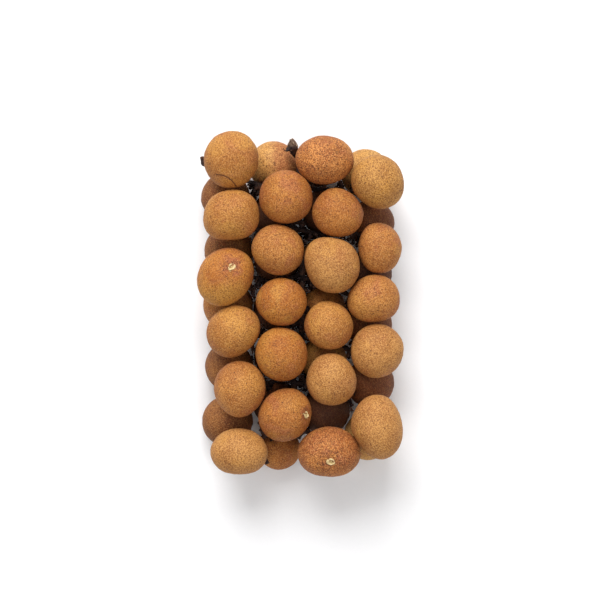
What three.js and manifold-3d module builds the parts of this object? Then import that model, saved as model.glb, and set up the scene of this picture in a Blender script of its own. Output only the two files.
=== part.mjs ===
// A bunch of longans, cut and laid down: round fruits crowded in two layers about one woody stalk.
// Millimetres, +Z up. Y runs along the stalk towards its cut end, and X across the bunch.
// The origin is the middle of the bunch's footprint, on the surface that it lies on.

import * as THREE from "three";
import { mergeVertices } from "three/addons/utils/BufferGeometryUtils.js";
import Module from "manifold-3d";

const wasm = await Module();
wasm.setup();

// ---------------------------------------------------------------- driving dimensions

const GAP = 0.4; // clear space left where two pieces touch
const FLAT_DEPTH = 0.9; // how far a lower fruit is pressed flat where it bears on the surface
const SQUATNESS = 0.97; // a fruit's height over its mean width
const UPPER_START = 34; // height at which the upper fruits are let go

// Each fruit before the bunch settles: its place across and along the bunch, then its size. No upper fruit
// is quite round, so its skin is given by how far it stands from the middle towards +X, and then at every
// eighth of a turn anticlockwise. A lower fruit is round, and given by its width.
const UPPER_FRUITS = [
  [-33.8, 67.0, [13.2, 13.8, 13.7, 13.3, 13.2, 13.3, 13.6, 13.0]],
  [9.4, 65.9, [13.9, 12.6, 11.8, 13.1, 13.9, 12.7, 11.7, 12.6]],
  [36.2, 57.8, [12.6, 12.5, 13.2, 13.0, 12.6, 11.8, 12.9, 13.6]],
  [-4.5, 51.9, [12.9, 12.6, 13.1, 12.9, 12.9, 13.2, 13.1, 13.2]],
  [17.0, 43.0, [12.6, 11.2, 11.8, 12.0, 12.2, 12.2, 11.9, 12.6]],
  [-33.5, 42.3, [13.5, 13.7, 12.2, 12.8, 13.4, 14.2, 11.8, 13.3]],
  [-8.3, 23.6, [12.3, 12.1, 12.4, 13.0, 12.8, 11.8, 12.0, 12.1]],
  [11.9, 18.8, [13.9, 13.3, 12.8, 14.4, 12.5, 12.5, 13.7, 14.6]],
  [37.6, 26.9, [10.4, 11.1, 12.3, 11.9, 10.4, 11.5, 12.3, 11.3]],
  [-35.8, 12.8, [13.1, 15.0, 13.7, 13.1, 13.5, 15.1, 13.9, 12.3]],
  [-9.5, -1.0, [12.3, 11.9, 11.7, 11.7, 12.3, 11.5, 11.8, 11.9]],
  [34.6, 3.5, [12.6, 12.2, 11.4, 11.4, 12.5, 13.1, 11.6, 12.6]],
  [13.3, -10.4, [11.6, 11.1, 11.8, 12.1, 12.0, 11.8, 11.6, 11.8]],
  [-32.5, -12.7, [12.6, 13.5, 12.5, 12.1, 13.0, 13.3, 12.5, 11.1]],
  [-9.5, -23.9, [12.6, 12.7, 12.8, 13.0, 12.4, 12.6, 13.0, 13.1]],
  [36.3, -21.9, [12.6, 12.9, 12.9, 12.7, 12.6, 13.0, 12.9, 12.3]],
  [-29.4, -40.5, [12.5, 12.7, 13.5, 13.0, 12.7, 12.7, 13.6, 12.2]],
  [14.3, -35.9, [12.0, 11.8, 12.6, 12.3, 12.1, 12.7, 12.7, 12.9]],
  [-7.7, -53.2, [12.2, 13.3, 13.0, 12.4, 13.1, 13.7, 13.0, 11.9]],
  [34.3, -60.4, [12.6, 13.6, 15.7, 13.5, 12.1, 11.4, 15.1, 14.9]],
  [-30.0, -69.8, [13.6, 12.0, 11.0, 12.3, 13.8, 12.7, 11.2, 12.8]],
  [15.2, -69.9, [15.2, 13.3, 12.1, 13.1, 15.3, 13.9, 12.1, 14.0]],
];
const LOWER_FRUITS = [
  [-35.5, 53.6, 24.0],
  [-35.2, 24.3, 24.2],
  [-34.8, -2.5, 24.4],
  [-34.5, -32.4, 24.2],
  [-35.2, -59.6, 25.0],
  [-12.6, 63.2, 24.6],
  [-10.8, 42.2, 22.4],
  [-11.5, 20.6, 22.4],
  [-11.5, -2.7, 22.6],
  [-11.6, -26.1, 22.4],
  [-11.8, -49.9, 22.6],
  [-10.4, -72.2, 20.6],
  [10.6, 66.7, 20.4],
  [13.8, 43.7, 23.0],
  [11.7, 20.3, 22.6],
  [11.5, -4.6, 22.6],
  [11.5, -29.1, 22.8],
  [12.3, -53.3, 23.8],
  [30.5, 63.0, 23.8],
  [33.5, 37.6, 23.2],
  [32.8, 13.0, 23.0],
  [32.8, -11.4, 23.0],
  [34.0, -39.4, 24.2],
  [31.5, -66.1, 24.0],
];

// Upper fruits that were plucked, by their place in the list from 0, and the way that their bare scar faces.
const PLUCKED = new Map([
  [9, [0.31, 0.37, 0.88]],
  [18, [0.84, 0.04, 0.54]],
  [21, [0.05, -0.31, 0.95]],
]);

// The stalk: a main axis from its cut end to its tip, as [x, y, z, radius].
const MAIN_AXIS = [
  [-3.8, 78.4, 27.2, 0.8],
  [-3.7, 76.8, 26.9, 1.7],
  [-3.8, 74.9, 26.1, 2.4],
  [-3.2, 72.3, 23.8, 1.8],
  [-0.5, 69.4, 20.9, 1.6],
  [-0.3, 65.0, 20.5, 1.7],
  [-0.6, 60.0, 20.4, 1.8],
  [-1.0, 51.0, 20.0, 1.8],
  [-4.5, 37.0, 19.3, 1.8],
  [0.4, 23.0, 19.4, 1.7],
  [0.8, -2.0, 19.2, 1.6],
  [0.4, -24.0, 19.2, 1.5],
  [-4.0, -38.5, 19.0, 1.4],
  [0.6, -52.0, 19.2, 1.3],
  [1.4, -63.0, 19.4, 1.1],
];
// Side shoots lie between the rows of lower fruits: [x, y, z] along each, from the main axis out.
const SIDE_SHOOTS = [
  [[-0.7, 58.0, 20.3], [-12.6, 54.6, 19.0], [-24.0, 58.2, 19.0], [-36.0, 61.6, 19.4]],
  [[-4.0, 39.0, 19.4], [-12.5, 31.6, 18.4], [-24.0, 36.4, 18.6]],
  [[0.6, 14.0, 19.3], [-12.0, 8.8, 18.4], [-24.0, 12.6, 18.6]],
  [[0.7, -9.0, 19.2], [-12.0, -14.8, 18.4], [-24.0, -17.0, 18.6]],
  [[-2.8, -34.5, 19.0], [-12.0, -38.2, 18.4], [-24.0, -43.0, 18.6]],
  [[0.9, -56.0, 19.2], [-10.5, -61.8, 18.2], [-21.0, -67.0, 18.4]],
  [[-0.8, 55.0, 20.2], [12.0, 54.8, 18.6], [24.0, 53.0, 18.6]],
  [[-4.0, 36.0, 19.3], [12.4, 32.2, 18.4], [23.0, 35.6, 18.6]],
  [[0.6, 12.0, 19.3], [12.0, 8.4, 18.4], [24.0, 3.4, 18.6]],
  [[0.6, -12.0, 19.2], [12.0, -16.2, 18.4], [24.0, -23.0, 18.6]],
  [[-3.8, -39.0, 19.0], [12.0, -40.8, 18.4], [22.5, -45.0, 18.6]],
  [[1.3, -62.0, 19.4], [13.0, -66.6, 18.0], [24.5, -72.0, 18.4]],
];
// Bare twigs that lost their fruit, and end in a break where they reach out between the fruits.
const BROKEN_TWIGS = [
  [[-36.0, 61.6, 19.4], [-43.6, 65.0, 20.5], [-47.2, 66.9, 21.9], [-47.8, 70.4, 22.4]],
  [[-4.2, 38.0, 19.3], [-1.4, 38.6, 25.0], [0.9, 36.4, 28.6]],
  [[-21.0, -67.0, 18.4], [-18.6, -73.0, 19.4], [-16.0, -78.4, 19.8]],
];
// A bare thread of a twig beside the stalk's cut end.
const THREAD = [[-3.9, 73.6, 26.1], [-6.2, 72.8, 26.6], [-7.6, 72.6, 27.2], [-8.6, 74.3, 28.0]];
const SHOOT_RADIUS = [1.25, 0.95]; // at the main axis, and at the shoot's end
const TWIG_RADIUS = [0.95, 1.1]; // a broken end is a little swollen
const THREAD_RADIUS = [0.5, 0.35];
const PEDICEL_RADIUS = 0.75; // the thin stem of one fruit
const CALYX_RADIUS = 1.6; // its flared end, where the remains of the flower hold the fruit
const CALYX_LENGTH = 1.4;
const CALYX_GAP = 0.6; // clear space between the flared end and the hollow that it stands in

// A fruit's skin, as shares of its radius, by the angle from its stem in radians.
const DIMPLE = { depth: 0.085, spread: 0.3 }; // the hollow that the stem stands in
const SHOULDER = { height: 0.012, angle: 0.8, spread: 0.5 }; // the low swelling round the dimple
const LUMPS = { height: 0.004, perRadius: 2.6 }; // the unevenness of the whole skin

// ---------------------------------------------------------------- how the bunch settles

const ROUNDS = 1600;
const LOOSE_ROUNDS = 1000; // rounds in which the fruits still sink and drift home
const SINK = 0.08; // mm that an upper fruit sinks in a round
const HOMING = 0.04; // share of its drift that a fruit makes good in a round

const FAR = 34; // fruits further apart than this can't touch
const SIDES = 8; // places on a fruit's outline

const vector = ([x, y, z]) => new THREE.Vector3(x, y, z);

function makeFruit([x, y, size], number, upper) {
  const sides = upper ? size : Array(SIDES).fill(size / 2);
  const halfHeight = (sides.reduce((sum, side) => sum + side) / SIDES) * SQUATNESS;
  const centre = new THREE.Vector3(x, y, upper ? UPPER_START : halfHeight - FLAT_DEPTH);
  return { number, upper, sides, halfHeight, centre, home: centre.clone() };
}

// How far a fruit's outline stands from its middle at an angle, on one smooth wave through its eight sides.
function outlineAt(sides, angle) {
  return sides.reduce((sum, side, i) => {
    const turn = angle - (i * 2 * Math.PI) / SIDES;
    const share = Math.sin((SIDES / 2) * turn) / Math.tan(turn / 2) / SIDES;
    return sum + side * (Math.abs(Math.sin(turn / 2)) < 1e-9 ? 1 : share);
  }, 0);
}

// Distance from a fruit's middle to its skin, towards a direction of unit length.
function reach({ sides, halfHeight }, direction) {
  const outline = outlineAt(sides, Math.atan2(direction.y, direction.x));
  return 1 / Math.hypot(Math.hypot(direction.x, direction.y) / outline, direction.z / halfHeight);
}

// A branch through its points, thinning evenly from its root's radius to its tip's.
function makeBranch(points, [rootRadius, tipRadius]) {
  const radii = points.map((_, i) => THREE.MathUtils.lerp(rootRadius, tipRadius, i / (points.length - 1)));
  return { points: points.map(vector), radii };
}

// A branch's straight lengths, each with its thickest radius.
function lengthsOf({ points, radii }) {
  return points.slice(1).map((end, i) => ({
    line: new THREE.Line3(points[i], end),
    radius: Math.max(radii[i], radii[i + 1]),
  }));
}

// Moves a fruit by a step, keeping a lower one down on the surface.
function nudge(fruit, step) {
  fruit.centre.add(step);
  if (!fruit.upper) fruit.centre.z = fruit.home.z;
}

function settle(fruits, lengths) {
  const apart = new THREE.Vector3();
  const nearest = new THREE.Vector3();
  for (let round = 0; round < ROUNDS; round++) {
    const loose = Math.max(0, 1 - round / LOOSE_ROUNDS);
    for (const fruit of fruits) {
      const home = fruit.home.clone().sub(fruit.centre).multiplyScalar(HOMING * loose);
      home.z = fruit.upper ? -SINK * loose : 0;
      nudge(fruit, home);
    }
    fruits.forEach((a, i) => {
      for (const b of fruits.slice(i + 1)) {
        apart.subVectors(a.centre, b.centre);
        const distance = apart.length();
        if (distance > FAR) continue;
        apart.normalize();
        const short = reach(a, apart.clone().negate()) + reach(b, apart) + GAP - distance;
        if (short <= 0) continue;
        apart.multiplyScalar(short / 2);
        nudge(a, apart);
        nudge(b, apart.negate());
      }
    });
    for (const fruit of fruits)
      for (const { line, radius } of lengths) {
        line.closestPointToPoint(fruit.centre, true, nearest);
        apart.subVectors(fruit.centre, nearest);
        const distance = apart.length();
        apart.normalize();
        if (distance > FAR) continue;
        const short = reach(fruit, apart.clone().negate()) + radius + GAP - distance;
        if (short > 0) nudge(fruit, apart.multiplyScalar(short));
      }
  }
}

// ---------------------------------------------------------------- where each fruit's stem leaves the stalk

const STEP = 1.5; // spacing of the places tried along the stalk

// True where a round length of stem keeps clear of every fruit but its own.
function isClear(line, radius, fruits, own) {
  const nearest = new THREE.Vector3();
  const apart = new THREE.Vector3();
  return fruits.every((fruit) => {
    if (fruit === own) return true;
    line.closestPointToPoint(fruit.centre, true, nearest);
    apart.subVectors(nearest, fruit.centre);
    const distance = apart.length();
    return distance > reach(fruit, apart.normalize()) + radius + GAP;
  });
}

// Takes the nearest place on the stalk from which a straight stem reaches the fruit past its neighbours.
function attach(fruit, fruits, lengths) {
  const places = lengths.flatMap(({ line }) => {
    const count = Math.ceil(line.distance() / STEP);
    return Array.from({ length: count }, (_, i) => line.at((i + 1) / count, new THREE.Vector3()));
  });
  places.sort((a, b) => a.distanceTo(fruit.centre) - b.distanceTo(fruit.centre));
  for (const place of places) {
    const stem = place.clone().sub(fruit.centre).normalize();
    const skin = reach(fruit, stem) * (1 - DIMPLE.depth) + CALYX_GAP;
    const foot = fruit.centre.clone().addScaledVector(stem, skin);
    const neck = fruit.centre.clone().addScaledVector(stem, skin + CALYX_LENGTH);
    if (!isClear(new THREE.Line3(neck, place), PEDICEL_RADIUS, fruits, fruit)) continue;
    if (!isClear(new THREE.Line3(foot, neck), CALYX_RADIUS, fruits, fruit)) continue;
    return { place, stem, foot, neck };
  }
  throw new Error(`no clear way for the stem of fruit ${fruit.number}`);
}

// ---------------------------------------------------------------- solids

function toSolid(geometry) {
  geometry.deleteAttribute("normal");
  geometry.deleteAttribute("uv");
  const merged = mergeVertices(geometry, 1e-4);
  const vertProperties = Float32Array.from(merged.attributes.position.array);
  const triVerts = Uint32Array.from(merged.index.array);
  return new wasm.Manifold(new wasm.Mesh({ numProp: 3, vertProperties, triVerts }));
}

function toGeometry(solid) {
  const { vertProperties, triVerts } = solid.getMesh();
  const geometry = new THREE.BufferGeometry();
  geometry.setAttribute("position", new THREE.BufferAttribute(vertProperties, 3));
  geometry.setIndex(new THREE.BufferAttribute(triVerts, 1));
  geometry.computeVertexNormals();
  return geometry;
}

// A round limb through a row of points, with its own radius at each: a cylinder bent ring by ring.
function limb(points, radii, sides) {
  const lastRing = points.length - 1;
  const geometry = new THREE.CylinderGeometry(1, 1, lastRing, sides, lastRing);
  const headings = points.map((_, i) => {
    const before = points[Math.max(i - 1, 0)];
    const after = points[Math.min(i + 1, lastRing)];
    return after.clone().sub(before).normalize();
  });
  const turn = new THREE.Quaternion().setFromUnitVectors(new THREE.Vector3(0, 1, 0), headings[0]);
  const turns = headings.map((heading, i) => {
    if (i > 0) turn.premultiply(new THREE.Quaternion().setFromUnitVectors(headings[i - 1], heading));
    return turn.clone();
  });
  const { position } = geometry.attributes;
  const corner = new THREE.Vector3();
  for (let i = 0; i < position.count; i++) {
    corner.fromBufferAttribute(position, i);
    const ring = Math.round(corner.y + lastRing / 2);
    corner.setY(0).multiplyScalar(radii[ring]).applyQuaternion(turns[ring]).add(points[ring]);
    position.setXYZ(i, corner.x, corner.y, corner.z);
  }
  return toSolid(geometry);
}

const WOOD_SIDES = 8;
const STEM_SIDES = 6;

// The woody stalk: its axis, shoots and twigs, and a thin stem that flares at each fruit that it carries.
function makeStalk(branches, stems) {
  const limbs = branches.map(({ points, radii }) => limb(points, radii, WOOD_SIDES));
  const stemRadii = [PEDICEL_RADIUS, PEDICEL_RADIUS, CALYX_RADIUS];
  for (const { place, neck, foot } of stems) limbs.push(limb([place, neck, foot], stemRadii, STEM_SIDES));
  return toGeometry(limbs.reduce((whole, piece) => whole.add(piece)));
}

// Share of the plain radius that the skin stands at, towards a direction of unit length.
function skinAt(fruit, direction) {
  const angle = direction.angleTo(fruit.stem);
  const bell = (middle, spread) => Math.exp(-(((angle - middle) / spread) ** 2));
  const shoulder = SHOULDER.height * bell(SHOULDER.angle, SHOULDER.spread);
  const wave = ["x", "y", "z"].map((axis, i) =>
    Math.sin(direction[axis] * LUMPS.perRadius + fruit.number * (i + 1)),
  );
  const lumps = LUMPS.height * wave[0] * wave[1] * wave[2];
  return 1 - DIMPLE.depth * bell(0, DIMPLE.spread) + shoulder + lumps;
}

const SKIN_DETAIL = 2; // splits of each edge of the icosahedron
const SLAB = 60; // wider than any fruit

// One fruit about its own middle, with a facets' corner in its dimple, and pressed flat where it lies.
function makeFruitGeometry(fruit) {
  const geometry = new THREE.IcosahedronGeometry(1, SKIN_DETAIL);
  const { position } = geometry.attributes;
  const direction = new THREE.Vector3().fromBufferAttribute(position, 0).normalize();
  geometry.applyQuaternion(new THREE.Quaternion().setFromUnitVectors(direction, fruit.stem));
  for (let i = 0; i < position.count; i++) {
    direction.fromBufferAttribute(position, i).normalize();
    direction.multiplyScalar(reach(fruit, direction) * skinAt(fruit, direction));
    position.setXYZ(i, direction.x, direction.y, direction.z);
  }
  const skin = toSolid(geometry);
  if (fruit.upper) return toGeometry(skin);
  const ground = new THREE.BoxGeometry(SLAB, SLAB, SLAB).translate(0, 0, -fruit.centre.z - SLAB / 2);
  return toGeometry(skin.subtract(toSolid(ground)));
}

// ---------------------------------------------------------------- the bunch

const RIND_TONES = [0xbe8246, 0xc68c50, 0xb07440, 0xcb9556, 0xa96a3c];
const rind = (number) =>
  new THREE.MeshStandardMaterial({
    color: RIND_TONES[number % RIND_TONES.length],
    roughness: 0.72,
    metalness: 0,
  });
const bark = new THREE.MeshStandardMaterial({ color: 0x5a3a24, roughness: 0.85, metalness: 0 });

const fruits = [
  ...UPPER_FRUITS.map((sizes, i) => makeFruit(sizes, i, true)),
  ...LOWER_FRUITS.map((sizes, i) => makeFruit(sizes, UPPER_FRUITS.length + i, false)),
];
const axis = { points: MAIN_AXIS.map(vector), radii: MAIN_AXIS.map(([, , , radius]) => radius) };
const shoots = SIDE_SHOOTS.map((points) => makeBranch(points, SHOOT_RADIUS));
const twigs = BROKEN_TWIGS.map((points) => makeBranch(points, TWIG_RADIUS));
const thread = makeBranch(THREAD, THREAD_RADIUS);
const branches = [axis, ...shoots, ...twigs, thread];
settle(fruits, branches.flatMap(lengthsOf));

const CUT_END = 5; // lengths of the axis past its first shoot, which carry no fruit
const bearing = [...lengthsOf(axis).slice(CUT_END), ...shoots.flatMap(lengthsOf)];
const stems = [];
for (const fruit of fruits) {
  if (PLUCKED.has(fruit.number)) {
    fruit.stem = vector(PLUCKED.get(fruit.number)).normalize();
    continue;
  }
  const way = attach(fruit, fruits, bearing);
  fruit.stem = way.stem;
  stems.push(way);
}

const bunch = new THREE.Group();
const stalk = new THREE.Mesh(makeStalk(branches, stems), bark);
stalk.name = "stalk";
bunch.add(stalk);
for (const fruit of fruits) {
  const mesh = new THREE.Mesh(makeFruitGeometry(fruit), rind(fruit.number));
  mesh.name = `longan_${String(fruit.number + 1).padStart(2, "0")}`;
  mesh.position.copy(fruit.centre);
  bunch.add(mesh);
}

const footprint = new THREE.Box3().setFromObject(bunch, true).getCenter(new THREE.Vector3());
bunch.position.set(-footprint.x, -footprint.y, 0);

export default bunch;
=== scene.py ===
import math
import random

import bpy
import numpy as np
from mathutils import Matrix, Vector
from mathutils.bvhtree import BVHTree


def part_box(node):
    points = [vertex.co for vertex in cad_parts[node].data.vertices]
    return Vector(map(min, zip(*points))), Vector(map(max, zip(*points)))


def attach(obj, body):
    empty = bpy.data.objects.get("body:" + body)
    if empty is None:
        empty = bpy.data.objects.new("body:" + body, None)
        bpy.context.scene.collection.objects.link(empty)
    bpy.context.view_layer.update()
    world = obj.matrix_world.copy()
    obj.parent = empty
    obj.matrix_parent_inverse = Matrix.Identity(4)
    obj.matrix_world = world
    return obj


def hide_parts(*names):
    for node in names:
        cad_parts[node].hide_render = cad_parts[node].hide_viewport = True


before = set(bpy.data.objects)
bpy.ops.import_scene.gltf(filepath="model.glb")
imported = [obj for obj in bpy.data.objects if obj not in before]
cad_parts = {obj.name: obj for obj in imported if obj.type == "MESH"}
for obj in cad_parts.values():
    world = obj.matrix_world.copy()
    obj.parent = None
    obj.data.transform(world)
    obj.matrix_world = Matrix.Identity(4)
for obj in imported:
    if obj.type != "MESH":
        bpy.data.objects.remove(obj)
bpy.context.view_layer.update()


# ---------------------------------------------------------------- the stalk
# The woody stem that the fruits grew on: a main axis with side shoots, bare twigs, and a thin stem to each
# fruit. It grew in one piece, is covered in thin rough bark, and was cut with shears at its thick, knobby
# end. Its solid has plain straight limbs, so a copy is rounded, roughened and given its lesser twigs.

MM = 0.001
ONE_PLACE = 0.01 * MM  # corners nearer than this are one
ONE_FLAT = math.radians(0.5)  # facets that turn by less than this are one flat face
BARK_QUAD = 0.40 * MM  # size of the quads that the bark is made of
BARK_LUMP_SIZE = 2.6 * MM
BARK_LUMP_RELIEF = 0.55 * MM
BARK_LUMP_MIDDLE = 0.46  # the part of the pattern that leaves the bark where it is
BARK_CRACK_SIZE = 0.8 * MM
BARK_CRACK_RELIEF = 0.22 * MM
SHARP_EDGE = math.radians(50)  # edges that turn by more than this stay sharp
DARK_BARK = (0.016, 0.008, 0.008, 1)
WARM_BARK = (0.085, 0.036, 0.020, 1)
GREY_BARK = (0.20, 0.125, 0.080, 1)
PALE_CORK = (0.27, 0.18, 0.12, 1)
CUT_WOOD = (0.62, 0.47, 0.31, 1)
WEATHERED_END = (74.6, 76.4)  # in millimetres along Y: where the grey begins, and where it is full

SQUATNESS = 0.97  # a fruit's height over the mean of its two widths
ON_SURFACE = 1 * MM  # a fruit that reaches lower than this lies on the surface, and is pressed flat there

# A bare twig, as rings: the share of its length, the share of its radius, and how far it leans aside.
TWIG_LENGTH = 10 * MM
TWIG_RADIUS = 0.85 * MM
TWIG_RINGS = [
    (0.00, 1.30, 0.00), (0.14, 1.00, 0.10), (0.38, 0.85, 0.55),
    (0.45, 1.35, 0.60), (0.53, 0.90, 0.50), (0.80, 0.75, -0.15),
    (0.91, 1.20, -0.10), (0.97, 1.35, 0.00), (1.00, 0.80, 0.00),
]
TWIG_SIDES = 6
# partly painted shade: as many near-black twigs as fill the gaps between the fruits, standing both for the
# bunch's own twigs and for the deep shade in those gaps
BARE_TWIGS_FOR_GAP_SHADE = 150
TWIG_REACH = (3.0 * MM, 20 * MM)
TWIG_ROOM = 1.0 * MM  # from a twig's middle line to the nearest fruit
ROOM_CHECKS = (0.25, 0.40, 0.55, 0.70, 0.85)  # shares of a twig's length at which its room is measured
TWIG_THICKNESS = (0.8, 1.15)  # thinnest and thickest, against the plain twig
TWIG_TURN = (0, 6.28)  # in radians
TWIG_SEED = 12
TIPS_APART = 2.4 * MM
TIP_SPAN = ((-38, 38), (-74, 62), (4, 26))  # where twigs may end, in millimetres along X, Y and Z

# The knobs of the thick end stand along it from the first place to the second, each turned on from the last.
THICK_END = (Vector((-3.9, 72.6, 24.6)) * MM, Vector((-3.7, 77.6, 27.0)) * MM)
KNOBS = 16
KNOB_TURN = 2.4  # in radians
KNOB_LENGTH = 3.3 * MM
CUT_PLACE = Vector((-2.75, 77.3, 27.2)) * MM
CUT_FACES = Vector((0.76, 0.52, 0.40)).normalized()
CUT_REACH = 4.2 * MM  # how far from the cut the wood that it goes through lies


def select_only(piece):
    bpy.ops.object.select_all(action="DESELECT")
    piece.select_set(True)
    bpy.context.view_layer.objects.active = piece


def copy_of(node_name, name):
    """A copy of a solid under a name of its own, with its loose triangles joined up."""
    piece = bpy.data.objects.new(name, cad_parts[node_name].data.copy())
    bpy.context.scene.collection.objects.link(piece)
    piece.data.materials.clear()
    select_only(piece)
    bpy.ops.object.mode_set(mode="EDIT")
    bpy.ops.mesh.select_all(action="SELECT")
    bpy.ops.mesh.remove_doubles(threshold=ONE_PLACE)
    bpy.ops.mesh.dissolve_limited(angle_limit=ONE_FLAT)
    bpy.ops.object.mode_set(mode="OBJECT")
    return piece


def shape_with(piece, kind, **settings):
    """Adds a modifier to a piece and applies it."""
    modifier = piece.modifiers.new(kind, kind)
    for setting, value in settings.items():
        setattr(modifier, setting, value)
    select_only(piece)
    bpy.ops.object.modifier_apply(modifier=modifier.name)


def relief(kind, size, **settings):
    """A pattern with features of that size, for a displacement."""
    pattern = bpy.data.textures.new(kind, kind)
    pattern.noise_scale = size
    for setting, value in settings.items():
        setattr(pattern, setting, value)
    return pattern


def roughen(piece, strength, pattern, mid_level=0.5):
    """Moves a piece's surface in and out by a pattern."""
    shape_with(
        piece, "DISPLACE", texture=pattern, strength=strength, mid_level=mid_level, texture_coords="LOCAL"
    )


def rings_of(name, sides, rings):
    """A closed round form through rings about Z, each given by its height, its radius and its lean aside."""
    first_height, first_radius, first_lean = rings[0]
    bpy.ops.object.select_all(action="DESELECT")
    bpy.ops.mesh.primitive_circle_add(
        vertices=sides, radius=first_radius, fill_type="NGON", location=(first_lean, 0, first_height)
    )
    piece = bpy.context.object
    piece.name = name
    bpy.ops.object.transform_apply(location=True)
    bpy.ops.object.mode_set(mode="EDIT")
    bpy.ops.mesh.select_all(action="SELECT")
    for (height, radius, lean), (next_height, next_radius, next_lean) in zip(rings, rings[1:]):
        rise = (next_lean - lean, 0, next_height - height)
        bpy.ops.mesh.extrude_region_move(TRANSFORM_OT_translate={"value": rise})
        share = next_radius / radius
        bpy.ops.transform.resize(value=(share, share, 1), center_override=(next_lean, 0, next_height))
    bpy.ops.mesh.select_all(action="SELECT")
    bpy.ops.mesh.normals_make_consistent(inside=False)
    bpy.ops.object.mode_set(mode="OBJECT")
    return piece


def placed_copy(pattern, name, start, way, size=(1, 1, 1), turn=0.0):
    """A copy of a form that stands on Z, with its own mesh, moved to a place and stood along a way."""
    piece = bpy.data.objects.new(name, pattern.data.copy())
    bpy.context.scene.collection.objects.link(piece)
    stand = way.to_track_quat("Z", "Y").to_matrix().to_4x4()
    turned = stand @ Matrix.Rotation(turn, 4, "Z") @ Matrix.Diagonal((*size, 1))
    piece.data.transform(Matrix.Translation(start) @ turned)
    return piece


def join_all(piece, others):
    """Makes other pieces part of one piece."""
    select_only(piece)
    for other in others:
        other.select_set(True)
    bpy.ops.object.join()


def join_to_bunch(piece, material, node_name=None):
    """Gives a finished piece its material and its place in the bunch, for the solid that it stands for."""
    piece.data.materials.clear()
    piece.data.materials.append(material)
    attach(piece, "root")
    if node_name:
        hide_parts(node_name)


def fruit_form(node_name):
    """A fruit's lowest and highest corners, its middle, and its half sizes."""
    low, high = (np.array(corner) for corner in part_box(node_name))
    middle = (low + high) / 2
    if low[2] < ON_SURFACE:
        middle[2] = high[2] - SQUATNESS * (high - low)[:2].sum() / 4
    return low, high, middle, high - middle


fruit_nodes = sorted(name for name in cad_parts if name.startswith("longan_"))
fruit_middles = np.array([fruit_form(name)[2] for name in fruit_nodes])
fruit_halves = np.array([fruit_form(name)[3] for name in fruit_nodes])


def room_at(place):
    """How far a place is from the nearest fruit's skin."""
    depths = np.linalg.norm((np.array(place) - fruit_middles) / fruit_halves, axis=1)
    return ((depths - 1) * fruit_halves.mean(axis=1)).min()


def is_in_gap(place):
    """True where no fruit lies over a place or under it."""
    offsets = (np.array(place) - fruit_middles) / fruit_halves
    return np.linalg.norm(offsets[:, :2], axis=1).min() > 1


def grow_twigs_into_shaded_gaps(stalk):
    """Twigs from the nearest place on the stalk out into the gaps between the fruits; there their near-black
    bark is partly painted shade for those deep gaps.
    """
    dice = random.Random(TWIG_SEED)
    select_only(stalk)
    bark_surface = BVHTree.FromObject(stalk, bpy.context.evaluated_depsgraph_get())
    tips = []
    twigs = []
    while len(tips) < BARE_TWIGS_FOR_GAP_SHADE:
        tip = Vector([dice.uniform(*span) for span in TIP_SPAN]) * MM
        if room_at(tip) < TWIG_ROOM or not is_in_gap(tip):
            continue
        root, faces, _, distance = bark_surface.find_nearest(tip)
        if not TWIG_REACH[0] < distance < TWIG_REACH[1]:
            continue
        if any((tip - other).length < TIPS_APART for other in tips):
            continue
        if any(room_at(root.lerp(tip, share)) < TWIG_ROOM for share in ROOM_CHECKS):
            continue
        tips.append(tip)
        start = root - faces * TWIG_RADIUS
        way = tip - start
        thickness = dice.uniform(*TWIG_THICKNESS)
        size = (thickness, thickness, way.length / TWIG_LENGTH)
        twigs.append(placed_copy(bare_twig, "twig", start, way, size, dice.uniform(*TWIG_TURN)))
    return twigs


def grow_knobs():
    """Short knobs all round the thick end, where the first shoots and the bud scales were."""
    base, top = THICK_END
    knobs = []
    for i in range(KNOBS):
        # they lean towards the cut, and get smaller towards it
        share = i / (KNOBS - 1)
        angle = i * KNOB_TURN
        outward = Vector((math.cos(angle), 0.45 + 0.4 * share, math.sin(angle)))
        size = (1.5 - 0.5 * share, 1.2 - 0.4 * share, (1 - 0.35 * share) * KNOB_LENGTH / TWIG_LENGTH)
        knobs.append(placed_copy(bare_twig, "knob", base.lerp(top, share), outward, size, angle))
    return knobs


def vertex_array(mesh):
    """The places of a mesh's corners, one to a row."""
    places = np.empty(len(mesh.vertices) * 3)
    mesh.vertices.foreach_get("co", places)
    return places.reshape(-1, 3)


def cut_thick_end(stalk):
    """Cuts the tip of the thick end off at a slant, and marks the pale wood of the cut."""
    select_only(stalk)
    bpy.ops.object.mode_set(mode="EDIT")
    bpy.ops.mesh.select_mode(type="VERT")
    bpy.ops.mesh.select_all(action="DESELECT")
    bpy.ops.object.mode_set(mode="OBJECT")
    near_cut = np.linalg.norm(vertex_array(stalk.data) - CUT_PLACE, axis=1) < CUT_REACH
    stalk.data.vertices.foreach_set("select", near_cut)
    bpy.ops.object.mode_set(mode="EDIT")
    bpy.ops.mesh.bisect(plane_co=CUT_PLACE, plane_no=CUT_FACES, use_fill=True, clear_outer=True)
    bpy.ops.object.mode_set(mode="OBJECT")
    offsets = vertex_array(stalk.data) - CUT_PLACE
    on_cut = np.abs(offsets @ CUT_FACES) < ONE_PLACE
    on_cut &= np.linalg.norm(offsets, axis=1) < CUT_REACH
    mark = stalk.data.attributes.new("cut_wood", "FLOAT", "POINT")
    mark.data.foreach_set("value", on_cut.astype(float))


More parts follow.
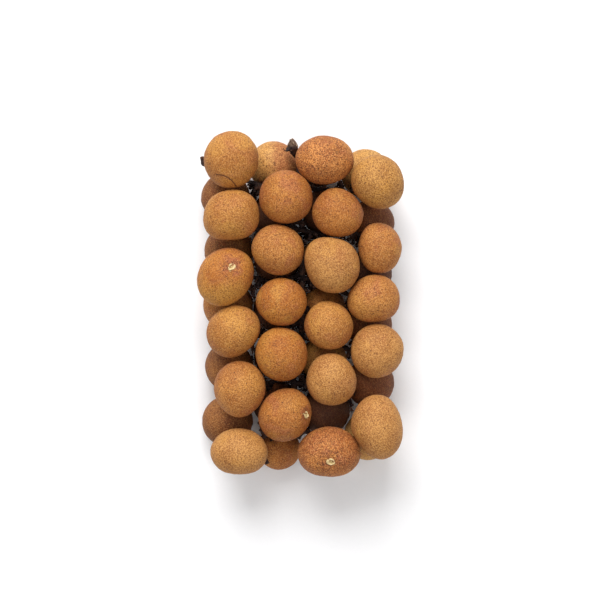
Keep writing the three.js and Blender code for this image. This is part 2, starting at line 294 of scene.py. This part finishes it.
class Wire:
    """The output of a shader node, so that sums of outputs and numbers are written as sums."""

    def __init__(self, tree, socket=None):
        self.tree = tree
        self.socket = socket

    def node(self, kind, settings=None, output=0, **inputs):
        """Adds a node: its settings first, then the values or wires of its sockets by their names."""
        made = self.tree.nodes.new(kind)
        for setting, value in (settings or {}).items():
            setattr(made, setting, value)
        for name, value in inputs.items():
            socket = next(s for s in made.inputs if s.enabled and s.name == name.replace("_", " "))
            if isinstance(value, Wire):
                self.tree.links.new(value.socket, socket)
            else:
                socket.default_value = value
        return Wire(self.tree, [s for s in made.outputs if s.enabled][output])

    def maths(self, operation, first, second):
        made = self.tree.nodes.new("ShaderNodeMath")
        made.operation = operation
        for socket, value in zip(made.inputs, (first, second)):
            if isinstance(value, Wire):
                self.tree.links.new(value.socket, socket)
            else:
                socket.default_value = value
        return Wire(self.tree, made.outputs[0])

    def __add__(self, other):
        return self.maths("ADD", self, other)

    def __radd__(self, other):
        return self.maths("ADD", other, self)

    def __sub__(self, other):
        return self.maths("SUBTRACT", self, other)

    def __rsub__(self, other):
        return self.maths("SUBTRACT", other, self)

    def __mul__(self, other):
        return self.maths("MULTIPLY", self, other)

    def __rmul__(self, other):
        return self.maths("MULTIPLY", other, self)

    def rise(self, low, high):
        """0 up to low and 1 from high on, with a soft step between. Given the higher first, it falls."""
        soft = {"interpolation_type": "SMOOTHSTEP"}
        return self.node("ShaderNodeMapRange", soft, Value=self, From_Min=low, From_Max=high)

    def clouds(self, size, detail=2.0, roughness=0.5):
        """Soft noise with features about that many millimetres across."""
        fineness = {"Detail": detail, "Roughness": roughness}
        return self.node("ShaderNodeTexNoise", Vector=self, Scale=1 / size, **fineness)

    def cells(self, size):
        """How far it is to the middle of a cell, with cells about that many millimetres across."""
        return self.node("ShaderNodeTexVoronoi", Vector=self, Scale=1 / size)

    def luck_of_cells(self, size):
        """A random number for each of those cells, from 0 to 1."""
        color = self.node("ShaderNodeTexVoronoi", output=1, Vector=self, Scale=1 / size)
        return self.node("ShaderNodeSeparateColor", Color=color)

    def along(self, axis):
        """How far along X, Y or Z this place is."""
        return self.node("ShaderNodeSeparateXYZ", output="XYZ".index(axis), Vector=self)

    def attribute(self, name):
        """A number that the mesh holds for each of its corners."""
        return self.node("ShaderNodeAttribute", {"attribute_name": name}, output=2)

    def moved(self, x):
        """The same place shifted by x millimetres, so that a second pattern doesn't follow the first."""
        return self.node("ShaderNodeMapping", Vector=self, Location=(x, 0.6 * x, 0.3 * x))

    def stirred(self, size):
        """The same place pushed about by soft noise of that size, so that rows of cells don't show."""
        push = self.node("ShaderNodeTexNoise", output=1, Vector=self, Scale=1 / size, Detail=1.0)
        return self.node("ShaderNodeMapping", Vector=self, Location=push)

    def mix(self, here, there):
        """The colour here where this wire is 0, and there where it is 1."""
        return self.node("ShaderNodeMix", {"data_type": "RGBA"}, Factor=self, A=here, B=there)


def new_finish(name):
    """An empty material, with the place on the bunch in millimetres as a wire."""
    material = bpy.data.materials.new(name)
    material.use_nodes = True
    tree = material.node_tree
    tree.nodes.clear()
    place = Wire(tree).node("ShaderNodeTexCoord", output=3)
    return material, place.node("ShaderNodeMapping", Vector=place, Scale=(1 / MM, 1 / MM, 1 / MM))


def set_finish(material, color, roughness, height, **fixed):
    """Ends a material: its colour, its roughness, and the height in millimetres of its fine relief."""
    tree = material.node_tree
    normal = height.node("ShaderNodeBump", Height=height, Distance=1 * MM, Strength=1.0)
    surface = color.node(
        "ShaderNodeBsdfPrincipled", Base_Color=color, Roughness=roughness, Normal=normal, **fixed
    )
    output = tree.nodes.new("ShaderNodeOutputMaterial")
    tree.links.new(surface.socket, output.inputs["Surface"])


def bark_finish():
    material, place = new_finish("rough brown bark")
    patches = place.clouds(5.0, detail=4, roughness=0.65).rise(0.42, 0.68)
    color = patches.mix(DARK_BARK, WARM_BARK)
    grain = place.clouds(0.5, detail=4, roughness=0.7)
    # the thick end weathered to a greyer brown
    weathered = place.along("Y").rise(*WEATHERED_END)
    color = (weathered * grain.rise(0.35, 0.6) * 0.8).mix(color, GREY_BARK)
    cork = place.moved(30).cells(2.3).rise(0.20, 0.12) * place.clouds(3.0).rise(0.5, 0.6)
    color = (cork * 0.6).mix(color, PALE_CORK)
    cut = place.attribute("cut_wood").rise(0.3, 0.9)
    color = (cut * (0.65 + 0.35 * grain)).mix(color, CUT_WOOD)
    height = 0.16 * grain + 0.10 * cork
    set_finish(material, color, 0.62 + 0.3 * grain, height, Specular_IOR_Level=0.3)
    return material


twig_rings = [(share * TWIG_LENGTH, width * TWIG_RADIUS, lean * MM) for share, width, lean in TWIG_RINGS]
bare_twig = rings_of("bare_twig", TWIG_SIDES, twig_rings)
bark = bark_finish()
stalk = copy_of("stalk", "woody_stalk")
join_all(stalk, grow_twigs_into_shaded_gaps(stalk) + grow_knobs())
shape_with(stalk, "REMESH", mode="VOXEL", voxel_size=BARK_QUAD)
shape_with(stalk, "SMOOTH", factor=0.5, iterations=4)
roughen(stalk, BARK_LUMP_RELIEF, relief("CLOUDS", BARK_LUMP_SIZE, noise_depth=3), BARK_LUMP_MIDDLE)
roughen(stalk, BARK_CRACK_RELIEF, relief("STUCCI", BARK_CRACK_SIZE))
cut_thick_end(stalk)
bpy.ops.object.shade_smooth_by_angle(angle=SHARP_EDGE)
join_to_bunch(stalk, bark, "stalk")


# ---------------------------------------------------------------- the fruits
# Each longan is a ball of flesh round one stone in a thin, leathery, matte rind, finely pitted and speckled.
# It has low shoulders round the dimple where its stem goes in. The solids have plain facets, so each fruit
# is a smoothed copy of its own, with a slightly lumpy skin, and stays flat where it bears on the surface.

SKIN_LEVELS = 3  # each halves the solid's facets again
LUMP_SIZE = 8.0 * MM
LUMP_RELIEF = 0.50 * MM
WART_SIZE = 1.9 * MM
WART_RELIEF = 0.13 * MM
DIMPLE_DEPTH = 0.30 * MM  # the skin stands in this far round a stem
DIMPLE_SPREAD = 0.20  # in radians about the fruit's middle
FRECKLE_SPACING = 0.80  # in millimetres, as are the dots'
DOT_SPACING = 1.3
DOT_BROWN = (0.080, 0.022, 0.008, 1)
FRECKLE_BROWN = (0.115, 0.034, 0.009, 1)
GOLD = (0.52, 0.240, 0.038, 1)
BLUSH = (0.34, 0.095, 0.030, 1)
PALE_GRAIN = (0.62, 0.33, 0.115, 1)

# Each tone of rind: its paler and its deeper colour, then how much gold, red blush, pale grain, freckles and
# dark dots it has. The fruits of each tone follow below. The hazel, brown and umber tones are painted shade:
# the same rind made darker for the lower fruits, for the shade they lie in under the upper ones.
RIND_TONES = {
    "tan": ((0.445, 0.172, 0.032, 1), (0.334, 0.107, 0.016, 1), 0.35, 0.60, 0.40, 0.85, 0.65),
    "amber": ((0.419, 0.144, 0.021, 1), (0.315, 0.090, 0.011, 1), 0.30, 0.60, 0.35, 0.85, 0.65),
    "ochre": ((0.450, 0.187, 0.033, 1), (0.349, 0.124, 0.018, 1), 0.50, 0.45, 0.40, 0.80, 0.60),
    "cream": ((0.470, 0.213, 0.053, 1), (0.369, 0.148, 0.033, 1), 0.40, 0.35, 0.50, 0.80, 0.60),
    "olive": ((0.477, 0.227, 0.048, 1), (0.360, 0.153, 0.028, 1), 0.55, 0.20, 0.45, 0.90, 0.72),
    "orange": ((0.457, 0.165, 0.018, 1), (0.351, 0.104, 0.010, 1), 0.55, 0.50, 0.30, 0.85, 0.65),
    "russet": ((0.520, 0.182, 0.037, 1), (0.352, 0.096, 0.018, 1), 0.25, 0.65, 0.45, 1.25, 0.90),
    # painted shade: hazel, brown and umber are darker copies of the rind, for lower fruits lying in shade
    "hazel": ((0.240, 0.082, 0.018, 1), (0.150, 0.043, 0.009, 1), 0.10, 0.30, 0.30, 0.85, 0.60),
    "brown": ((0.176, 0.045, 0.011, 1), (0.104, 0.024, 0.007, 1), 0.00, 0.30, 0.22, 0.80, 0.60),
    "umber": ((0.080, 0.021, 0.009, 1), (0.045, 0.011, 0.006, 1), 0.00, 0.10, 0.13, 0.80, 0.60),
    "straw": ((0.603, 0.329, 0.097, 1), (0.504, 0.243, 0.057, 1), 0.40, 0.10, 0.50, 0.80, 0.75),
}
TONE_OF_FRUIT = {
    "tan": (7, 9, 12, 17, 25, 37),
    "amber": (4, 5, 19, 34, 38),
    "ochre": (1, 6, 13, 14, 39),
    "cream": (8, 16, 18, 20, 21),
    "olive": (3,),
    "orange": (10, 11, 15),
    "russet": (2, 22),
    # painted shade: these lower fruits get the darker tones for the shade under the upper fruits
    "hazel": (23, 24, 26, 27),
    "brown": (35, 42, 44, 45),
    "umber": (29, 30, 31, 32, 33, 36, 40, 43),
    "straw": (28, 41, 46),
}
# Two fruits have one side of another colour: along which axis, from where to where it comes up, in
# millimetres, and the colour.
COLORED_SIDES = {28: ("X", -17.5, -8.5, BLUSH), 10: ("Y", 13.0, 3.0, GOLD)}
# One fruit has a fine bent scratch: the middle of its bend along X and Y, and its radius, in millimetres.
SCRATCHES = {1: (-39.3, 50.8, 10.1)}


def rind_finish(name, pale, deep, gold, blush, grain, freckles, dots, side=None, scratch=None):
    material, place = new_finish(name + " rind")
    # the ground: two shades that drift into each other, with patches of gold and a red blush
    drift = place.clouds(15.0, detail=3, roughness=0.55).rise(0.36, 0.62)
    color = drift.mix(deep, pale)
    patch = place.moved(150).clouds(13.0, detail=3, roughness=0.5).rise(0.50, 0.66)
    color = (patch * gold).mix(color, GOLD)
    red = place.moved(70).clouds(10.0, detail=5, roughness=0.62).rise(0.48, 0.64) * blush
    stem_end = place.attribute("from_stem")
    near_stem = stem_end.rise(0.60, 0.22) * place.moved(40).clouds(3.0, detail=3).rise(0.36, 0.60)
    red = red + 0.8 * near_stem
    crowd = place.moved(110).clouds(6.5, detail=3, roughness=0.6).rise(0.42, 0.62) + 0.7 * near_stem
    color = red.rise(0, 1).mix(color, BLUSH)
    if side:
        axis, start, full, side_color = side
        ragged = 9 * (place.clouds(4.0, detail=4) - 0.5)
        covered = (place.along(axis) + ragged).rise(start, full)
        color = (covered * 0.85).mix(color, side_color)
    # freckles: a brown pit at the middle of each cell of the skin, some faint, with paler skin between them
    stirred = place.stirred(1.7)
    pit = stirred.cells(FRECKLE_SPACING)
    pit_luck = stirred.luck_of_cells(FRECKLE_SPACING)
    freckle = pit.rise(0.44, 0.26) * (0.30 + 0.70 * pit_luck)
    mottle = place.moved(20).clouds(0.50, detail=1, roughness=0.5)
    color = (mottle.rise(0.50, 0.60) * grain).mix(color, PALE_GRAIN)
    color = (mottle.rise(0.50, 0.40) * freckles * 0.45).mix(color, FRECKLE_BROWN)
    blotch = place.moved(90).clouds(1.2, detail=3, roughness=0.65).rise(0.50, 0.62)
    color = (blotch * (dots - 0.52 + 0.5 * near_stem)).mix(color, FRECKLE_BROWN)
    color = (freckle * freckles).mix(color, FRECKLE_BROWN)
    # some cells of a wider net hold one dark dot, of a size of its own, and more of them where they crowd
    wide = stirred.moved(60)
    size = wide.luck_of_cells(DOT_SPACING) * (0.22 + 0.16 * crowd) - 0.03
    dot = (size - wide.cells(DOT_SPACING)).rise(-0.06, 0.06)
    color = (dot * dots).mix(color, DOT_BROWN)
    # the skin at the stem itself is browner and drier
    dry = stem_end.rise(0.30, 0.10) * place.clouds(1.6, detail=3).rise(0.30, 0.60)
    color = (dry * 0.5).mix(color, DOT_BROWN)
    height = 0.05 * pit + 0.10 * mottle - 0.04 * dot
    if scratch:
        middle_x, middle_y, bend = scratch
        middle = (-middle_x, -middle_y, 0)
        flat = place.node("ShaderNodeMapping", Vector=place, Location=middle, Scale=(1, 1, 0))
        past_line = flat.node("ShaderNodeVectorMath", {"operation": "LENGTH"}, Vector=flat) - bend
        ends = flat.along("X").rise(-1.0, -0.2) * flat.along("Y").rise(4.6, 5.2)
        line = (past_line * past_line).rise(0.12, 0.02) * ends
        color = (line * 0.85).mix(color, DOT_BROWN)
        height = height - 0.15 * line
    set_finish(material, color, 0.60 + 0.25 * mottle, height, Specular_IOR_Level=0.32)
    return material


def stem_direction(mesh, middle):
    """The way from a fruit's middle to its dimple, which is the corner that is sunk the most."""
    corners = vertex_array(mesh)
    offsets = corners - middle
    reach = np.linalg.norm(offsets, axis=1)
    # a corner is sunk by as much as it reaches out less far than the mean of the corners next to it
    ends = np.array([edge.vertices[:] for edge in mesh.edges])
    around = np.zeros(len(corners))
    for one, other in (ends.T, ends.T[::-1]):
        np.add.at(around, one, reach[other])
    sunk = around / np.bincount(ends.ravel(), minlength=len(corners)) - reach
    sunk[corners[:, 2] < ON_SURFACE] = 0
    deepest = offsets[sunk.argmax()]
    return deepest / np.linalg.norm(deepest)


def make_fruit(number, material):
    node_name = f"longan_{number:02d}"
    low, high, middle, _ = fruit_form(node_name)
    fruit = copy_of(node_name, f"longan_fruit_{number:02d}")
    stem = stem_direction(fruit.data, middle)
    shape_with(fruit, "SUBSURF", levels=SKIN_LEVELS, render_levels=SKIN_LEVELS)
    roughen(fruit, LUMP_RELIEF, relief("CLOUDS", LUMP_SIZE))
    roughen(fruit, -WART_RELIEF, relief("VORONOI", WART_SIZE))
    # smoothing draws a shape in, so the fruit is brought back to the solid's own size
    skin = vertex_array(fruit.data)
    fine_low, fine_high = skin.min(axis=0), skin.max(axis=0)
    skin = low + (skin - fine_low) * (high - low) / (fine_high - fine_low)
    ways = skin - middle
    ways /= np.linalg.norm(ways, axis=1)[:, None]
    from_stem = np.arccos(np.clip(ways @ stem, -1, 1))
    skin -= DIMPLE_DEPTH * np.exp(-((from_stem / DIMPLE_SPREAD) ** 2))[:, None] * stem
    fruit.data.vertices.foreach_set("co", skin.ravel())
    mark = fruit.data.attributes.new("from_stem", "FLOAT", "POINT")
    mark.data.foreach_set("value", from_stem)
    bpy.ops.object.shade_smooth()
    join_to_bunch(fruit, material, node_name)
    return Vector(skin[from_stem.argmin()]), Vector(stem)


stem_ends = {}
for tone, numbers in TONE_OF_FRUIT.items():
    rind = rind_finish(tone, *RIND_TONES[tone])
    for number in numbers:
        own_rind = rind
        if number in COLORED_SIDES or number in SCRATCHES:
            own_marks = (COLORED_SIDES.get(number), SCRATCHES.get(number))
            own_rind = rind_finish(f"{tone} {number}", *RIND_TONES[tone], *own_marks)
        stem_ends[number] = make_fruit(number, own_rind)


# ---------------------------------------------------------------- the stem scars
# Three of the upper fruits were pulled off their stems. Each keeps a pale corky cup where its stem was, with
# the torn strands of the stem in the middle, and beside it the small knob of a fruit that never grew.

# How wide and how long each fruit's scar is against the plain cup, and how far it is turned, in radians.
SCAR_SHAPES = {10: (0.82, 1.28, -0.10), 19: (0.85, 1.10, -0.80), 22: (1.15, 0.95, -0.40)}
# The cup, then the knob, as rings in millimetres: height, radius and lean aside.
CUP_RINGS = [
    (-0.80, 1.90, 0), (-0.10, 1.92, 0), (0.24, 1.74, 0),
    (0.40, 1.48, 0.05), (0.36, 1.20, 0.12), (0.16, 0.96, 0.22),
    (-0.02, 0.66, 0.28), (0.02, 0.36, 0.30), (0.10, 0.16, 0.30),
]
CUP_SIDES = 18
KNOB_RINGS = [(-0.50, 0.50, 0), (0.10, 0.48, 0), (0.30, 0.34, 0), (0.36, 0.15, 0)]
KNOB_SIDES = 10
KNOB_PLACE = Vector((-1.4, 1.9, -0.10)) * MM
# The size and the relief of the torn lumps, then of the fine strands.
TORN_LUMPS = (1.5 * MM, 0.95 * MM)
TORN_STRANDS = (0.5 * MM, 0.35 * MM)
PALE_SCAR = (0.70, 0.52, 0.27, 1)
SCAR_HOLLOW = (0.42, 0.305, 0.130, 1)


def scar_finish():
    material, place = new_finish("pale corky scar")
    grain = place.clouds(0.5, detail=4, roughness=0.7)
    rim = (place.attribute("scar_height") + grain * 0.3).rise(0.18, 0.52)
    worn = place.clouds(2.2, detail=3).rise(0.30, 0.62)
    color = (rim * (0.45 + 0.55 * worn)).mix(SCAR_HOLLOW, PALE_SCAR)
    specks = place.cells(1.1).rise(0.24, 0.12)
    color = (specks * 0.5).mix(color, DOT_BROWN)
    set_finish(material, color, 0.7 + 0.2 * grain, 0.12 * grain, Specular_IOR_Level=0.2)
    return material


def in_metres(rings):
    return [tuple(size * MM for size in ring) for ring in rings]


scar_material = scar_finish()
stem_cup = rings_of("stem_cup", CUP_SIDES, in_metres(CUP_RINGS))
dead_knob = rings_of("dead_knob", KNOB_SIDES, in_metres(KNOB_RINGS))
dead_knob.data.transform(Matrix.Translation(KNOB_PLACE))
join_all(stem_cup, [dead_knob])
heights = vertex_array(stem_cup.data)[:, 2] / MM
mark = stem_cup.data.attributes.new("scar_height", "FLOAT", "POINT")
mark.data.foreach_set("value", heights)
for number, (across, along, turn) in SCAR_SHAPES.items():
    place, stem = stem_ends[number]
    scar = placed_copy(stem_cup, f"stem_scar_{number:02d}", place, stem, (across, along, 1), turn)
    shape_with(scar, "SUBSURF", levels=2, render_levels=2)
    for size, strength in (TORN_LUMPS, TORN_STRANDS):
        roughen(scar, strength, relief("CLOUDS", size))
    bpy.ops.object.shade_smooth()
    join_to_bunch(scar, scar_material)


# ---------------------------------------------------------------- the dried calyces
# Where a stem meets its fruit, the five dried lobes of the flower still lie on the skin round the stem. They
# grew on the stem's flared end and are as thin as paper, so one star is shaped and copied to every stem.

LOBES = 5
STAR_RADIUS = 1.45 * MM  # between two lobes
LOBE_OUTLINE = (1.0, 1.25, 1.75, 1.25)  # how far out the corners are against that radius, from lobe to lobe
STAR_THICKNESS = 0.35 * MM
STAR_LIFT = 0.30 * MM  # from the bottom of the dimple
DIMPLE_CUP = 0.5 * MM  # the lobes' tips bend up this far, with the skin
LOBE_CREASE_SIZE = 1.2 * MM
LOBE_CREASES = 0.35 * MM

bpy.ops.object.select_all(action="DESELECT")
star_corners = LOBES * len(LOBE_OUTLINE)
bpy.ops.mesh.primitive_circle_add(vertices=star_corners, radius=STAR_RADIUS, fill_type="NGON")
star = bpy.context.object
bpy.ops.object.mode_set(mode="EDIT")
bpy.ops.mesh.select_all(action="SELECT")
bpy.ops.mesh.extrude_region_move(TRANSFORM_OT_translate={"value": (0, 0, STAR_THICKNESS)})
bpy.ops.mesh.select_all(action="SELECT")
bpy.ops.mesh.normals_make_consistent(inside=False)
bpy.ops.object.mode_set(mode="OBJECT")
for corner in star.data.vertices:
    step = round(math.atan2(corner.co.y, corner.co.x) / (math.tau / star_corners))
    reach = LOBE_OUTLINE[step % len(LOBE_OUTLINE)]
    corner.co.x *= reach
    corner.co.y *= reach
    corner.co.z += DIMPLE_CUP * (reach - 1) / (max(LOBE_OUTLINE) - 1)
stars = []
for number, (place, stem) in stem_ends.items():
    if number not in SCAR_SHAPES:
        stars.append(placed_copy(star, "star", place + stem * STAR_LIFT, stem, turn=number))
calyces = stars.pop()
calyces.name = "dried_calyces"
join_all(calyces, stars)
roughen(calyces, LOBE_CREASES, relief("CLOUDS", LOBE_CREASE_SIZE))
bpy.ops.object.shade_smooth_by_angle(angle=SHARP_EDGE)
join_to_bunch(calyces, bark)
for pattern in (bare_twig, stem_cup, star):
    bpy.data.objects.remove(pattern)


# ---------------------------------------------------------------- surface, light and camera
# A plain pale surface under soft studio light from above, brighter from the cut end of the stalk, and a
# camera that looks straight down on the bunch, with the cut end at the top of the picture.

FLOOR_WIDTH = 6
PALE_FLOOR = (0.86, 0.86, 0.87, 1)
GREYER_FLOOR = (0.84, 0.84, 0.85, 1)
ROOM_LIGHT = 0.50
CAMERA_HEIGHT = 0.79
CAMERA_CENTRE = (-0.20 * MM, 1.86 * MM)
SENSOR_WIDTH = 36
PICTURE_WIDTH = 0.285  # how much shows across the picture, at the height of the upper fruits
UPPER_FRUIT_HEIGHT = 0.035

floor_material, floor_place = new_finish("plain pale card")
speckle = floor_place.clouds(2.0)
floor_color = speckle.mix(PALE_FLOOR, GREYER_FLOOR)
set_finish(floor_material, floor_color, 0.8 + 0.1 * speckle, 0.01 * speckle)
bpy.ops.object.select_all(action="DESELECT")
bpy.ops.mesh.primitive_plane_add(size=FLOOR_WIDTH)
floor = bpy.context.object
floor.name = "floor"
floor.data.materials.append(floor_material)


def add_light(name, width, power, place):
    """A square soft light of that width in metres and power in watts, turned to the bunch."""
    light = bpy.data.lights.new(name, "AREA")
    light.size = width
    light.energy = power
    lamp = bpy.data.objects.new(name, light)
    bpy.context.scene.collection.objects.link(lamp)
    lamp.location = place
    lamp.rotation_euler = (-Vector(place)).to_track_quat("-Z", "Y").to_euler()


add_light("key light", 0.9, 24.5, (-0.20, 0.98, 1.04))
add_light("fill light", 1.4, 7.0, (0.30, -0.45, 1.36))

world = bpy.data.worlds.new("soft room light")
world.use_nodes = True
background = world.node_tree.nodes["Background"]
background.inputs["Color"].default_value = (1, 1, 1, 1)
background.inputs["Strength"].default_value = ROOM_LIGHT
bpy.context.scene.world = world
bpy.context.scene.view_settings.view_transform = "Standard"

camera = bpy.data.objects.new("camera", bpy.data.cameras.new("camera"))
bpy.context.scene.collection.objects.link(camera)
camera.location = (*CAMERA_CENTRE, CAMERA_HEIGHT)
camera.data.sensor_width = SENSOR_WIDTH
camera.data.lens = SENSOR_WIDTH * (CAMERA_HEIGHT - UPPER_FRUIT_HEIGHT) / PICTURE_WIDTH
bpy.context.scene.camera = camera
